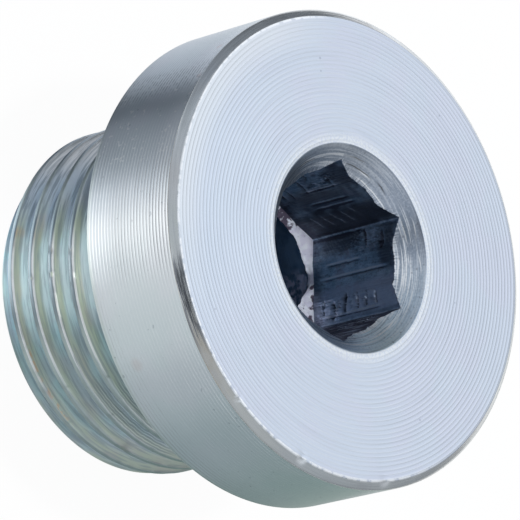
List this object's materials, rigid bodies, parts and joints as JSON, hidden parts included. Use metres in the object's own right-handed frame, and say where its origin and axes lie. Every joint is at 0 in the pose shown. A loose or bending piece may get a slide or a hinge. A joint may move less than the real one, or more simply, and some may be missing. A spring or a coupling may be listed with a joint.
{
  "type": "hex socket plug",
  "caption": "Round steel screw plug: a plain cylindrical collar with a countersunk hex socket in its face, on a short threaded shank that closes a tapped port.",
  "frame": {"origin": "centre of the end of the threaded shank, on which the plug stands", "axes": "+Z along the plug's axis, out of the collar's face; two corners of the hex socket lie on the X axis"},
  "size_m": [0.024, 0.024, 0.017],
  "materials": {
    "zinc_plated_steel": "turned steel with thin bluish zinc plating and a faint iridescent passivation on the thread"
  },
  "bodies": {
    "root": {"plug": "zinc_plated_steel"}
  },
  "joints": []
}
